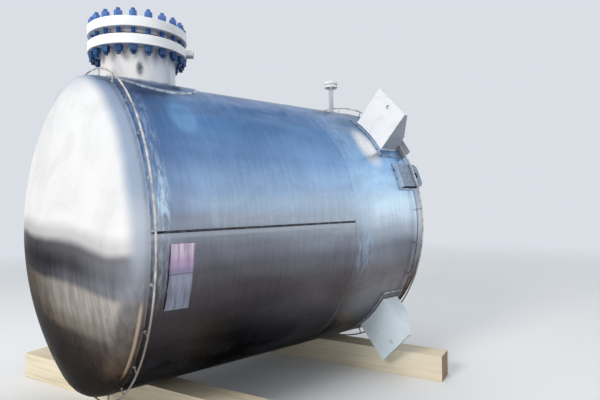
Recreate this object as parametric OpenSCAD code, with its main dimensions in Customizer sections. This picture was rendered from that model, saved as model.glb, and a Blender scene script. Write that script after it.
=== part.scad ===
// Horizontal pressure tank: stainless shell with dished heads, bolted manway,
// small nozzles, support and lifting lugs, lying on two squared timbers.
// X runs along the vessel, Y across it, Z up; the floor is z = 0 under its middle.

/* [Vessel shell] */
// Outside diameter of the shell
shell_od = 2134; // [1600:1:2600]
// Plate thickness of shell and heads
shell_t = 12; // [8:0.5:25]
// Distance between the two head seams
seam_span = 2270; // [2200:1:3000]
// Middle girth seam, measured from the left head seam
course_split = 1531; // [1400:1:1600]
// Outside crown radius of each head
crown_r = 2400; // [2100:1:3000]
// Outside knuckle radius of each head
knuckle_r = 130; // [90:1:200]
// Length of the straight flange of each head
head_flange = 38; // [20:1:80]

/* [Weld beads] */
// Width of a seam bead
bead_w = 14; // [8:1:40]
// Height of a seam bead above the plate
bead_h = 2; // [1:0.5:6]
// Leg of a fillet weld
fillet = 9; // [4:1:20]
// Long seam of the left course, degrees above the near side
seam_angle = 2.5; // [-30:0.5:30]

/* [Insulation support rings] */
// Diameter of the ring rod
ring_rod = 12; // [8:1:20]
// Clear distance between shell and ring rod
ring_gap = 44; // [42:1:90]
// Number of clip places around one ring
clip_count = 24; // [8:1:36]
// Turn of the left ring's clips about the axis, degrees
left_turn = 4.5; // [0:0.5:7]
// Turn of the right ring's clips about the axis, degrees
right_turn = 1; // [0:0.5:3]
// Diameter of a clip rod
clip_d = 10; // [6:1:20]
// Width of the upright tab beside the right ring
tab_w = 140; // [60:1:150]
// Reach of the tab above the shell
tab_h = 90; // [60:1:140]
// Thickness of the tab
tab_t = 10; // [6:1:11]
// Tab position on the near side, degrees from the top
tab_angle = 55; // [45:0.5:56]
// Gap between the tab and the ring or seam bead
tab_gap = 2; // [1:0.5:3]

/* [Manway] */
// Manway centre, measured from the left head seam
manway_x = 355; // [345:1:600]
// Outside diameter of the neck
neck_od = 524; // [400:1:600]
// Wall of the neck
neck_t = 10; // [6:0.5:20]
// Underside of the lower flange above the vessel axis
flange_z = 1276; // [1180:1:1400]
// Edge of the flanges beyond the bolt circle
flange_edge = 33; // [31:1:60]
// Thickness of each flange
flange_t = 70; // [30:1:90]
// Distance of the bolt circle from the outside of the neck
bolt_out = 53; // [50:1:70]
// Number of studs
stud_count = 20; // [8:4:28]
// Stud diameter
stud_d = 29; // [16:1:40]
// Length of stud showing beyond each nut
stud_over = 20; // [5:1:40]
// Nut width across flats
nut_af = 48; // [30:1:60]
// Nut height
nut_h = 42; // [15:1:50]
// Width of the laps between the flanges, beyond the outside of the neck
lap_w = 26; // [12:1:34]
// Thickness of the neck lap and of the cover lining
lap_t = 20; // [8:1:30]
// Gasket thickness
gasket_t = 8; // [2:0.5:12]
// Margin of the oval reinforcing pad before and behind the neck, along the vessel
pad_m = 33; // [25:1:45]
// Width of that pad across the vessel
pad_l = 1080; // [700:1:1200]
// Thickness of the reinforcing pad
pad_t = 12; // [6:1:20]
// Turn of the side boss from the vessel axis towards the near side, degrees
boss_turn = 35; // [0:1:60]
// Diameter of the side boss on the lower flange
boss_d = 62; // [30:1:64]
// Length of the side boss
boss_l = 54; // [15:1:80]

/* [Top nozzle] */
// Distance of the nozzle before the right head seam
vent_back = 70; // [66:1:400]
// Distance of the nozzle from the crown line, towards the near side
vent_side = 130; // [0:1:160]
// Outside diameter of the nozzle pipe
vent_od = 44; // [25:1:90]
// Wall of the nozzle pipe
vent_t = 5; // [3:0.5:9]
// Underside of the nozzle flange above the shell
vent_rise = 230; // [100:1:400]
// Outside diameter of the nozzle flange
vent_flange_od = 126; // [90:1:200]
// Thickness of the nozzle flange and of its cover
vent_flange_t = 26; // [12:1:40]
// Gasket between nozzle flange and cover
vent_gasket = 4; // [1:0.5:8]
// Number of nozzle bolts
vent_bolts = 4; // [4:4:8]

/* [Support lugs] */
// Face of the lug plates before the right head seam
lug_back = 230; // [225:1:500]
// Width of a lug plate
lug_w = 365; // [200:1:380]
// Reach of a lug plate above the shell
lug_reach = 345; // [200:1:360]
// Thickness of a lug plate
lug_plate_t = 22; // [12:1:40]
// Length of the gussets along the vessel
gusset_l = 160; // [80:1:162]
// Thickness of a gusset
gusset_t = 14; // [8:1:25]
// Lug positions, degrees from the top
lug_angle = 45; // [30:1:60]
// Hole in each lug plate
lug_hole = 34; // [16:1:60]
// Distance of that hole from the outer edge
lug_hole_in = 58; // [30:1:120]
// Thickness of the pad under a lug
lug_pad_t = 10; // [6:1:16]
// Margin of the pad beside the gussets of a lug
lug_pad_s = 62; // [20:1:66]
// Margin of the pad before the plate and beyond the gussets
lug_pad_m = 34; // [15:1:36]

/* [Lifting lugs] */
// Width of a lifting plate
lift_w = 200; // [120:1:220]
// Length of a lifting plate
lift_l = 255; // [230:1:380]
// Thickness of a lifting plate
lift_t = 26; // [14:1:34]
// Part of the lifting plate beyond the right head seam
lift_out = 95; // [85:1:160]
// Lifting lug positions, degrees from the top
lift_angle = 68.5; // [66:0.5:80]
// Margin of the pad under a lifting plate
lift_pad_m = 14; // [8:1:20]
// Hole in a lifting plate
lift_hole = 46; // [30:1:50]

/* [Bottom nozzle] */
// Distance of the nozzle before the right head seam
drain_back = 80; // [76:1:90]
// Outside diameter of the nozzle neck
drain_od = 114; // [80:1:120]
// Wall of the nozzle neck
drain_t = 6; // [4:0.5:12]
// Lowest face of the cover below the shell
drain_drop = 150; // [110:1:180]
// Outside diameter of the nozzle flange
drain_flange_od = 230; // [180:1:236]
// Thickness of the nozzle flange and of its cover
drain_flange_t = 25; // [14:1:40]
// Number of nozzle bolts
drain_bolts = 8; // [4:4:12]

/* [Timbers] */
// Height of each timber
timber_h = 200; // [190:1:300]
// Width of each timber
timber_w = 200; // [120:1:300]
// Length of each timber
timber_l = 2600; // [2400:1:3000]
// Depth of the seat that the shell has pressed into a timber
seat_d = 4; // [1:0.5:8]
// Left timber, its middle measured from the left head seam
timber_a = 330; // [250:1:500]
// Turn of both timbers from square to the vessel, degrees
timber_turn = 20; // [0:1:24]
// Right timber, measured back from the right head seam
timber_b = 320; // [312:1:330]

/* [Hidden] */
$fn = 96;
fine_fn = 360;
shell_r = shell_od / 2;
inner_r = shell_r - shell_t;
axis_z = timber_h + shell_r - seat_d;
x_left = -seam_span / 2;
x_right = seam_span / 2;
x_split = x_left + course_split;
ring_r = shell_r + ring_gap + ring_rod / 2;
x_tab = x_right + max(ring_rod, bead_w) / 2 + tab_gap;
x_man = x_left + manway_x;
bolt_pcd = neck_od + 2 * bolt_out;
flange_od = bolt_pcd + 2 * flange_edge;
lap_od = neck_od + 2 * lap_w;
pad_w = neck_od + 2 * pad_m;
lap_z = flange_z + flange_t;
gasket_z = lap_z + lap_t;
lining_z = gasket_z + gasket_t;
cover_z = lining_z + lap_t;
cover_top = cover_z + flange_t;
neck_clear = 3;
hole_clear = 3;
edge_c = 4;
x_vent = x_right - vent_back;
vent_flange_z = shell_r + vent_rise;
vent_gasket_z = vent_flange_z + vent_flange_t;
vent_cover_z = vent_gasket_z + vent_gasket;
vent_top = vent_cover_z + vent_flange_t;
vent_pcd = (vent_flange_od + vent_od) / 2;
vent_bolt_d = 13;
x_lug = x_right - lug_back;
lug_top = shell_r + lug_reach;
lug_base = shell_r + lug_pad_t;
x_lift = x_right + lift_out - lift_l;
lift_end_r = 52;
x_drain = x_right - drain_back;
drain_gasket = 4;
drain_cover_z = -shell_r - drain_drop;
drain_flange_z = drain_cover_z + drain_flange_t + drain_gasket;
drain_pcd = (drain_flange_od + drain_od) / 2;
drain_bolt_d = 18;
small = 1;

// A cylinder along the vessel axis
module bar_x(r, x0, x1) {
  translate([x0, 0, 0]) rotate([0, 90, 0]) cylinder(r = r, h = x1 - x0, $fn = fine_fn);
}

// Moves the children to the vessel axis
module on_axis() {
  translate([0, 0, axis_z]) children();
}

// Outline of a dished head: radius r, knuckle k, crown c, flange from y = 0
module head_outline(r, k, c) {
  rise = sqrt(pow(c - k, 2) - pow(r - k, 2));
  reach = c + k;
  intersection() {
    square([r + k, c]);
    union() {
      square([r, head_flange]);
      translate([r - k, head_flange]) circle(r = k);
      translate([0, head_flange - rise]) intersection() {
        circle(r = c);
        polygon([[0, 0], [(r - k) * reach / rise, reach], [0, reach]]);
      }
    }
  }
}

// Height of a dished head above its seam
function head_depth(r, k, c) = head_flange + c - sqrt(pow(c - k, 2) - pow(r - k, 2));

// A head that opens towards the middle, its seam in the plane x = 0
module head() {
  rotate([0, 90, 0]) rotate_extrude($fn = fine_fn) difference() {
    head_outline(shell_r, knuckle_r, crown_r);
    head_outline(inner_r, knuckle_r - shell_t, crown_r - shell_t);
  }
}

module left_head() {
  color("silver") on_axis() translate([x_left, 0, 0]) mirror([1, 0, 0]) head();
}

module right_head() {
  color("silver") on_axis() translate([x_right, 0, 0]) head();
}

// Bore of the manway through everything above the axis
module manway_bore(r) {
  translate([x_man, 0, 0]) cylinder(r = r, h = shell_r + pad_t + small);
}

module main_course() {
  color("silver") on_axis() difference() {
    bar_x(shell_r, x_left, x_split);
    bar_x(inner_r, x_left - small, x_split + small);
    manway_bore(neck_od / 2);
  }
}

module end_course() {
  color("silver") on_axis() difference() {
    bar_x(shell_r, x_split, x_right);
    bar_x(inner_r, x_split - small, x_right + small);
    at_vent() cylinder(d = vent_od, h = shell_r + small);
    translate([x_drain, 0, -shell_r - small]) cylinder(d = drain_od, h = shell_r);
  }
}

// One bead around the shell with sloped flanks
module ring_bead(x) {
  translate([x, 0, 0]) rotate([0, 90, 0]) rotate_extrude($fn = fine_fn)
    polygon([
      [shell_r, -bead_w / 2], [shell_r + bead_h, -bead_w / 4],
      [shell_r + bead_h, bead_w / 4], [shell_r, bead_w / 2]
    ]);
}

// Space taken by the lifting pads where the right bead passes
module lifting_clear() {
  for (s = [-1, 1])
    rotate([s * lift_angle, 0, 0])
      translate([x_lift - lift_pad_m, -lift_w / 2 - lift_pad_m, 0])
        cube([lift_l, lift_w + 2 * lift_pad_m, shell_r + lug_pad_t + small]);
}

module girth_beads() {
  color("gray") on_axis() {
    ring_bead(x_left);
    ring_bead(x_split);
    difference() {
      ring_bead(x_right);
      lifting_clear();
    }
  }
}

module long_bead() {
  color("gray") on_axis() rotate([90 - seam_angle, 0, 0]) difference() {
    intersection() {
      bar_x(shell_r + bead_h, x_left + bead_w / 2, x_split - bead_w / 2);
      translate([x_left, -bead_w / 2, 0]) cube([seam_span, bead_w, shell_od]);
    }
    bar_x(shell_r, x_left, x_right);
  }
}

// A support ring around the vessel at x
module support_ring(x) {
  on_axis() translate([x, 0, 0]) rotate([0, 90, 0])
    rotate_extrude() translate([ring_r, 0]) circle(d = ring_rod, $fn = 32);
}

// The clips between the shell and the ring at x
module ring_clips(x, turn, skip) {
  on_axis() difference() {
    for (i = [0 : clip_count - 1])
      let (a = (i + 0.5) * 360 / clip_count + turn)
        if (abs(abs(a > 180 ? a - 360 : a) - lift_angle) > skip)
          rotate([a, 0, 0]) translate([x, 0, shell_r - small])
            cylinder(d = clip_d, h = ring_gap + ring_rod / 2, $fn = 24);
    bar_x(shell_r + bead_h, x_left - clip_d, x_right + clip_d);
    translate([x, 0, 0]) rotate([0, 90, 0])
      rotate_extrude() translate([ring_r, 0]) circle(d = ring_rod, $fn = 32);
  }
}

module left_ring() {
  color("silver") support_ring(x_left);
}

module left_ring_clips() {
  color("silver") ring_clips(x_left, left_turn, -1);
}

module right_ring() {
  color("silver") support_ring(x_right);
}

module right_ring_clips() {
  color("silver") ring_clips(x_right, right_turn, 9);
}

module ring_tab() {
  color("silver") on_axis() rotate([tab_angle, 0, 0]) difference() {
    translate([x_tab, -tab_w / 2, shell_r / 2]) cube([tab_t, tab_w, shell_r / 2 + tab_h]);
    bar_x(shell_r, x_left, x_right + head_flange);
  }
}

// A layer on the shell between two heights above it
module shell_layer(h0, h1) {
  difference() {
    bar_x(shell_r + h1, x_left, x_right);
    bar_x(shell_r + h0, x_left - small, x_right + small);
  }
}

// An upright tube that crosses the crown of the shell
module crown_tube(r0, r1) {
  difference() {
    cylinder(r = r1, h = shell_r * 1.2);
    translate([0, 0, -small]) cylinder(r = r0, h = shell_r * 1.2 + 2 * small);
  }
}

// An upright oval bar over the crown of the shell, grown by g beyond the pad's outline
module pad_bar(g) {
  r = pad_w / 2;
  d = (pad_l - pad_w) / 2;
  translate([x_man, 0, 0]) union() {
    for (s = [-1, 1]) translate([0, s * d, 0]) cylinder(r = r + g, h = shell_r * 1.2);
    translate([-r - g, -d, 0]) cube([2 * (r + g), 2 * d, shell_r * 1.2]);
  }
}

module manway_pad() {
  color("silver") on_axis() difference() {
    intersection() {
      shell_layer(0, pad_t);
      pad_bar(0);
    }
    manway_bore(neck_od / 2);
  }
}

module manway_pad_bead() {
  color("gray") on_axis() difference() {
    intersection() {
      shell_layer(0, fillet);
      pad_bar(fillet);
    }
    pad_bar(0);
    bar_x(shell_r + fillet + small, x_left - small, x_left + bead_w / 2);
  }
}

module manway_neck_bead() {
  color("gray") on_axis() intersection() {
    shell_layer(pad_t, pad_t + fillet);
    translate([x_man, 0, 0]) crown_tube(neck_od / 2, neck_od / 2 + fillet);
  }
}

module manway_neck() {
  color("gainsboro") on_axis() difference() {
    translate([x_man, 0, 0]) rotate_extrude() union() {
      translate([neck_od / 2 - neck_t, shell_r / 2]) square([neck_t, gasket_z - shell_r / 2]);
      translate([neck_od / 2 - neck_t, lap_z]) square([lap_od / 2 - neck_od / 2 + neck_t, lap_t]);
    }
    bar_x(inner_r, x_left, x_right);
  }
}

module manway_gasket() {
  color("dimgray") on_axis() translate([x_man, 0, gasket_z]) difference() {
    cylinder(d = lap_od - 2 * edge_c, h = gasket_t);
    translate([0, 0, -small]) cylinder(d = neck_od, h = gasket_t + 2 * small);
  }
}

module manway_lining() {
  color("gainsboro") on_axis() translate([x_man, 0, lining_z]) cylinder(d = lap_od, h = lap_t);
}

// A flange disc with broken edges, bore radius b, its underside at z = 0
module disc(d, t, b, c) {
  rotate_extrude() polygon([
    [b, 0], [d / 2 - c, 0], [d / 2, c], [d / 2, t - c], [d / 2 - c, t], [b, t]
  ]);
}

// Puts children on a circle of n places, the first half a step from +X
module around(n, pcd) {
  for (i = [0 : n - 1])
    rotate([0, 0, (i + 0.5) * 360 / n]) translate([pcd / 2, 0, 0]) children();
}

module manway_lower_flange() {
  color("white") on_axis() translate([x_man, 0, flange_z]) difference() {
    disc(flange_od, flange_t, neck_od / 2 + neck_clear, edge_c);
    around(stud_count, bolt_pcd)
      translate([0, 0, -small]) cylinder(d = stud_d + hole_clear, h = flange_t + 2 * small, $fn = 32);
  }
}

module manway_cover() {
  color("white") on_axis() translate([x_man, 0, cover_z]) difference() {
    disc(flange_od, flange_t, 0, edge_c);
    around(stud_count, bolt_pcd)
      translate([0, 0, -small]) cylinder(d = stud_d + hole_clear, h = flange_t + 2 * small, $fn = 32);
  }
}

module manway_studs() {
  stud_l = cover_top - flange_z + 2 * (nut_h + stud_over);
  color("royalblue") on_axis() translate([x_man, 0, flange_z - nut_h - stud_over])
    around(stud_count, bolt_pcd) rotate_extrude() polygon([
      [0, 0], [stud_d / 2 - 3, 0], [stud_d / 2, 3],
      [stud_d / 2, stud_l - 3], [stud_d / 2 - 3, stud_l], [0, stud_l]
    ]);
}

// A hexagon nut with a plain bore, its underside at z = 0
module nut(af, h, bore) {
  difference() {
    cylinder(d = af / cos(30), h = h, $fn = 6);
    translate([0, 0, -small]) cylinder(d = bore, h = h + 2 * small, $fn = 32);
  }
}

module manway_top_nuts() {
  color("royalblue") on_axis() translate([x_man, 0, cover_top])
    around(stud_count, bolt_pcd) nut(nut_af, nut_h, stud_d);
}

module manway_bottom_nuts() {
  color("royalblue") on_axis() translate([x_man, 0, flange_z - nut_h])
    around(stud_count, bolt_pcd) nut(nut_af, nut_h, stud_d);
}

module manway_side_boss() {
  color("white") on_axis() translate([x_man, 0, flange_z]) rotate([0, 0, -boss_turn]) difference() {
    translate([0, 0, flange_t / 2]) rotate([0, 90, 0])
      cylinder(d = boss_d, h = flange_od / 2 + boss_l, $fn = 48);
    translate([0, 0, -small]) cylinder(d = flange_od, h = flange_t + 2 * small);
    translate([flange_od / 2 + boss_l / 2, 0, flange_t / 2])
      rotate([0, 90, 0]) cylinder(d = boss_d / 2, h = boss_l, $fn = 48);
  }
}

// Moves the children to the top nozzle's centre line
module at_vent() {
  translate([x_vent, -vent_side, 0]) children();
}

module vent_pipe() {
  color("gainsboro") on_axis() difference() {
    at_vent() translate([0, 0, shell_r / 2]) cylinder(d = vent_od, h = vent_gasket_z - shell_r / 2);
    at_vent() cylinder(d = vent_od - 2 * vent_t, h = vent_gasket_z + small);
    bar_x(inner_r, x_left, x_right);
  }
}

module vent_collar() {
  color("gainsboro") on_axis() intersection() {
    shell_layer(0, fillet);
    at_vent() crown_tube(vent_od / 2, vent_od);
  }
}

// Bolt holes for the vent flange and cover
module vent_holes() {
  around(vent_bolts, vent_pcd)
    translate([0, 0, -small]) cylinder(d = vent_bolt_d + hole_clear, h = vent_flange_t + 2 * small, $fn = 24);
}

module vent_flange() {
  color("white") on_axis() at_vent() translate([0, 0, vent_flange_z]) difference() {
    disc(vent_flange_od, vent_flange_t, vent_od / 2, 2);
    vent_holes();
  }
}

module vent_cover() {
  color("white") on_axis() at_vent() union() {
    translate([0, 0, vent_cover_z]) difference() {
      disc(vent_flange_od, vent_flange_t, 0, 2);
      vent_holes();
    }
    translate([0, 0, vent_gasket_z]) cylinder(d = vent_od * 1.4, h = vent_gasket + small);
  }
}

module vent_bolts_set() {
  color("royalblue") on_axis() at_vent() around(vent_bolts, vent_pcd) union() {
    translate([0, 0, vent_flange_z - 14]) cylinder(d = vent_bolt_d, h = vent_top - vent_flange_z + 28, $fn = 24);
    translate([0, 0, vent_flange_z - 11]) cylinder(d = 23, h = 11, $fn = 6);
    translate([0, 0, vent_top]) cylinder(d = 23, h = 11, $fn = 6);
  }
}

// The four places of the support lugs
module lug_places() {
  for (a = [lug_angle, 180 - lug_angle, -lug_angle, lug_angle - 180])
    on_axis() rotate([a, 0, 0]) children();
}

module lug_pads() {
  span = lug_plate_t + gusset_l + 2 * lug_pad_m;
  color("silver") lug_places() difference() {
    intersection() {
      bar_x(lug_base, x_lug - lug_pad_m, x_lug - lug_pad_m + span);
      translate([x_lug - lug_pad_m, 0, 0]) linear_extrude(height = lug_base + small)
        translate([0, -lug_w / 2 - lug_pad_s]) square([span, lug_w + 2 * lug_pad_s]);
    }
    bar_x(shell_r, x_left, x_right + shell_r);
  }
}

module lug_plates() {
  color("white") lug_places() difference() {
    translate([x_lug, -lug_w / 2, shell_r / 2]) cube([lug_plate_t, lug_w, lug_top - shell_r / 2]);
    bar_x(lug_base, x_left, x_right);
    translate([0, 0, lug_top - lug_hole_in]) bar_x(lug_hole / 2, x_lug - small, x_lug + lug_plate_t + small);
  }
}

module lug_gussets() {
  color("white") lug_places() difference() {
    for (s = [-1, 1])
      translate([x_lug + lug_plate_t, s * (lug_w - gusset_t) / 2 + gusset_t / 2, 0])
        rotate([90, 0, 0]) linear_extrude(height = gusset_t) polygon([
          [0, shell_r / 2], [0, lug_top], [gusset_l * 0.08, lug_top],
          [gusset_l, lug_base + lug_reach * 0.36], [gusset_l, shell_r / 2]
        ]);
    bar_x(lug_base, x_left, x_right);
  }
}

module lifting_places() {
  for (s = [-1, 1]) on_axis() rotate([s * lift_angle, 0, 0]) children();
}

module lifting_pads() {
  span = x_right - x_lift;
  color("silver") lifting_places() difference() {
    intersection() {
      bar_x(shell_r + lug_pad_t, x_lift - lift_pad_m, x_right);
      translate([x_lift - lift_pad_m, -lift_w / 2 - lift_pad_m, 0])
        cube([span + lift_pad_m, lift_w + 2 * lift_pad_m, shell_od]);
    }
    bar_x(shell_r, x_left, x_right + small);
  }
}

// Outline of a lifting plate, seen from outside
module lifting_outline() {
  union() {
    translate([0, -lift_w / 2]) square([lift_l - lift_end_r, lift_w]);
    translate([0, -lift_w / 2 + lift_end_r]) square([lift_l, lift_w - 2 * lift_end_r]);
    for (s = [-1, 1])
      translate([lift_l - lift_end_r, s * (lift_w / 2 - lift_end_r)]) circle(r = lift_end_r);
  }
}

module lifting_plates() {
  color("silver") lifting_places() difference() {
    translate([x_lift, 0, shell_r - lift_t / 2]) linear_extrude(height = 1.5 * lift_t + lug_pad_t)
      difference() {
        lifting_outline();
        translate([lift_l - lift_end_r, 0]) circle(d = lift_hole);
      }
    bar_x(shell_r + lug_pad_t, x_left, x_right + head_flange + lift_l);
  }
}

module drain_neck() {
  color("gainsboro") on_axis() difference() {
    translate([x_drain, 0, drain_flange_z]) cylinder(d = drain_od, h = shell_r / 2);
    translate([x_drain, 0, drain_flange_z - small])
      cylinder(d = drain_od - 2 * drain_t, h = shell_r);
    bar_x(inner_r, x_left, x_right);
  }
}

// Bolt holes for the drain flange and cover
module drain_holes() {
  around(drain_bolts, drain_pcd)
    translate([0, 0, -small]) cylinder(d = drain_bolt_d + hole_clear, h = drain_flange_t + 2 * small, $fn = 24);
}

module drain_flange() {
  color("dimgray") on_axis() translate([x_drain, 0, drain_flange_z]) difference() {
    disc(drain_flange_od, drain_flange_t, drain_od / 2, 3);
    drain_holes();
  }
}

module drain_gasket_ring() {
  color("black") on_axis() translate([x_drain, 0, drain_flange_z - drain_gasket]) difference() {
    cylinder(d = drain_od + 40, h = drain_gasket);
    translate([0, 0, -small]) cylinder(d = drain_od - 2 * drain_t, h = drain_gasket + 2 * small);
  }
}

module drain_cover() {
  color("dimgray") on_axis() translate([x_drain, 0, drain_cover_z]) difference() {
    disc(drain_flange_od, drain_flange_t, 0, 3);
    drain_holes();
  }
}

module drain_bolts_set() {
  stack = 2 * drain_flange_t + drain_gasket;
  color("royalblue") on_axis() translate([x_drain, 0, drain_cover_z]) around(drain_bolts, drain_pcd) union() {
    translate([0, 0, -18]) cylinder(d = drain_bolt_d, h = stack + 36, $fn = 24);
    translate([0, 0, -15]) cylinder(d = 31, h = 15, $fn = 6);
    translate([0, 0, stack]) cylinder(d = 31, h = 15, $fn = 6);
  }
}

// A timber across the vessel at x, with the seat pressed into its top
module timber(x) {
  difference() {
    translate([x, 0, 0]) rotate([0, 0, timber_turn])
      translate([-timber_w / 2, -timber_l / 2, 0]) cube([timber_w, timber_l, timber_h]);
    on_axis() bar_x(shell_r, x_left - timber_w, x_right + timber_w);
  }
}

module timber_left() {
  color("wheat") timber(x_left + timber_a);
}

module timber_right() {
  color("wheat") timber(x_right - timber_b);
}

left_head();
right_head();
main_course();
end_course();
girth_beads();
long_bead();
left_ring();
left_ring_clips();
right_ring();
right_ring_clips();
ring_tab();
manway_pad();
manway_pad_bead();
manway_neck_bead();
manway_neck();
manway_gasket();
manway_lining();
manway_lower_flange();
manway_cover();
manway_studs();
manway_top_nuts();
manway_bottom_nuts();
manway_side_boss();
vent_pipe();
vent_collar();
vent_flange();
vent_cover();
vent_bolts_set();
lug_pads();
lug_plates();
lug_gussets();
lifting_pads();
lifting_plates();
drain_neck();
drain_flange();
drain_gasket_ring();
drain_cover();
drain_bolts_set();
timber_left();
timber_right();
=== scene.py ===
"""Finishes and small dressing for a horizontal stainless pressure tank on two timbers."""

import math

import bpy
from bpy.props import FloatProperty, FloatVectorProperty, IntProperty, PointerProperty
from mathutils import Matrix, Vector


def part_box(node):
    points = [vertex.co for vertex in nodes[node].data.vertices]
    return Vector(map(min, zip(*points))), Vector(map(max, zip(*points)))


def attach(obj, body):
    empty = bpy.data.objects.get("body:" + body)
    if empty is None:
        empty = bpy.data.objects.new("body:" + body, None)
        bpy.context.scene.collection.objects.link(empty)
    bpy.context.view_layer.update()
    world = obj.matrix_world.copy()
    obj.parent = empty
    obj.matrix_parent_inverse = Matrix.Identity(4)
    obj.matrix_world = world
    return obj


bl_info = {
    "name": "Horizontal Pressure Tank",
    "version": (1, 0, 0),
    "blender": (4, 5, 0),
    "location": "3D View > Sidebar > Tank",
    "description": "Finishes, welds and studio for a horizontal pressure tank",
    "category": "Object",
}

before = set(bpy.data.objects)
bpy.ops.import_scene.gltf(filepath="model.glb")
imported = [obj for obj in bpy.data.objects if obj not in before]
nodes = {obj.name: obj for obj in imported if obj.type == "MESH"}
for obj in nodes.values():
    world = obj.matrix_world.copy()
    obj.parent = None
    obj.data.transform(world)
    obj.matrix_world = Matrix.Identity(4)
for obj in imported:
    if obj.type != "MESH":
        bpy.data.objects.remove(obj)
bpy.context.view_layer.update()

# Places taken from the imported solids, in metres
shell_low, shell_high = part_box("main_course")
end_low, end_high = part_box("end_course")
AXIS_Z = (shell_low.z + shell_high.z) / 2
SHELL_R = (shell_high.z - shell_low.z) / 2
SEAM_LEFT = shell_low.x
SEAM_MID = shell_high.x
SEAM_RIGHT = end_high.x
neck_low, neck_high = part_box("manway_neck")
MANWAY_X = (neck_low.x + neck_high.x) / 2
# Turn of both timbers from square to the vessel
TIMBER_TURN = math.radians(20)
# Height of a weld's middle line above the plate below it
WELD_LIFT = 0.003
# Radius of a weld from one ripple to the next, as a share of its own
WELD_SWELLS = (1.0, 1.16, 0.9)
# Weld at the foot of a ring clip: radius, shape and the turn from one to the next
BLOB_R = 0.0085
BLOB_SHAPE = (1.0, 1.15, 0.62)
BLOB_TURN = 0.4
# Blank sheet: its foot and top in degrees from the top of the shell, and the heights of both
SHEET_ANGLES = (111, 91)
SHEET_BAND = tuple(AXIS_Z + SHELL_R * math.cos(math.radians(angle)) for angle in SHEET_ANGLES)
# Its distance from the left seam, gap to the plate, puffs, curl at the edges and thickness
SHEET_LEFT = 0.100
SHEET_LIFT = 0.0035
SHEET_PUFF = 0.004
SHEET_CURL = 0.030
SHEET_T = 0.0012
# Camera: place, turn, tilt, lean, sensor width in millimetres and focal length in sensor widths
EYE = Vector((-2.1006, -3.4176, 1.4593))
YAW, PITCH, ROLL = 0.697, 0.004, -0.015
SENSOR_W = 36
FOCAL = 0.780
# Lamps: name, place, size, power and colour
LAMPS = (
    ("key", (-8.3, -2.5, 6.0), 3.0, 600, (1.0, 0.98, 0.95)),
    ("fill", (5.0, -9.0, 4.0), 7.0, 50, (0.82, 0.91, 1.0)),
    ("top", (2.0, 1.0, 9.5), 9.0, 300, (0.95, 0.98, 1.0)),
)
# World light, the pale tone that metal mirrors, and the floor with its fade into the backdrop
WORLD_LIGHT = (0.90, 0.95, 1.0, 1)
WORLD_STRENGTH = 0.46
MIRRORED = (0.90, 0.91, 0.92, 1)
FLOOR_R = 60
FLOOR_DROP = 0.002
FLOOR_FADE = (4.0, 14.0)


class TankSizes(bpy.types.PropertyGroup):
    """Sizes of the pieces that the scene adds and of the lugs that they follow."""
    weld_r: FloatProperty(name="Weld radius", description="Half the width of a fillet weld",
                          default=0.0055, min=0.002, max=0.02, unit="LENGTH")
    weld_step: FloatProperty(name="Weld ripple", description="Distance between two ripples of a weld",
                             default=0.012, min=0.004, max=0.04, unit="LENGTH")
    lug_w: FloatProperty(name="Lug width", description="Width of a support lug plate",
                         default=0.365, min=0.2, max=0.38, unit="LENGTH")
    lug_angle: FloatProperty(name="Lug angle", description="Degrees from the top to an upper support lug",
                             default=45, min=30, max=60)
    lug_margin: FloatProperty(name="Lug pad margin", description="Margin of the pad beside a support lug",
                              default=0.062, min=0.02, max=0.066, unit="LENGTH")
    lift_half: FloatProperty(name="Lifting pad half width", description="Half the width of a lifting pad",
                             default=0.114, min=0.07, max=0.13, unit="LENGTH")
    lift_angle: FloatProperty(name="Lifting angle", description="Degrees from the top to a lifting plate",
                              default=68.5, min=66, max=80)
    pad_t: FloatProperty(name="Pad thickness", description="Thickness of the pads on the shell",
                         default=0.010, min=0.006, max=0.016, unit="LENGTH")
    clip_count: IntProperty(name="Clips", description="Clip places around one support ring",
                            default=24, min=8, max=36)
    sheet_w: FloatProperty(name="Sheet width", description="Width of the blank sheet on the shell",
                           default=0.138, min=0.1, max=0.4, unit="LENGTH")
    sheet_lean: FloatProperty(name="Sheet lean", description="How far the sheet's foot hangs to the left",
                              default=0.012, min=0.0, max=0.1, unit="LENGTH")


class TankColours(bpy.types.PropertyGroup):
    """Colours of the finishes."""
    paint: FloatVectorProperty(name="Paint", description="White paint of flanges and lugs",
                               subtype="COLOR", size=3, default=(0.90, 0.91, 0.92), min=0, max=1)
    coating: FloatVectorProperty(name="Coating", description="Blue coating of studs and nuts",
                                 subtype="COLOR", size=3, default=(0.018, 0.088, 0.36), min=0, max=1)
    timber: FloatVectorProperty(name="Timber", description="Face of the squared timbers",
                                subtype="COLOR", size=3, default=(0.80, 0.69, 0.50), min=0, max=1)
    floor: FloatVectorProperty(name="Floor", description="Studio floor", subtype="COLOR",
                               size=3, default=(0.90, 0.905, 0.91), min=0, max=1)
    backdrop: FloatVectorProperty(name="Backdrop", description="Studio backdrop", subtype="COLOR",
                                  size=3, default=(0.70, 0.74, 0.79), min=0, max=1)


# Node helpers

def new_material(name, colour, roughness, metallic=0.0):
    mat = bpy.data.materials.new(name)
    mat.use_nodes = True
    shader = mat.node_tree.nodes["Principled BSDF"]
    shader.inputs["Base Color"].default_value = (*colour, 1)
    shader.inputs["Roughness"].default_value = roughness
    shader.inputs["Metallic"].default_value = metallic
    mat.diffuse_color = (*colour, 1)
    return mat, mat.node_tree, shader


def add(tree, kind, **values):
    made = tree.nodes.new(kind)
    for key, value in values.items():
        setattr(made, key, value)
    return made


def plug(tree, target, value):
    if isinstance(value, bpy.types.NodeSocket):
        tree.links.new(value, target)
    else:
        target.default_value = value


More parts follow.
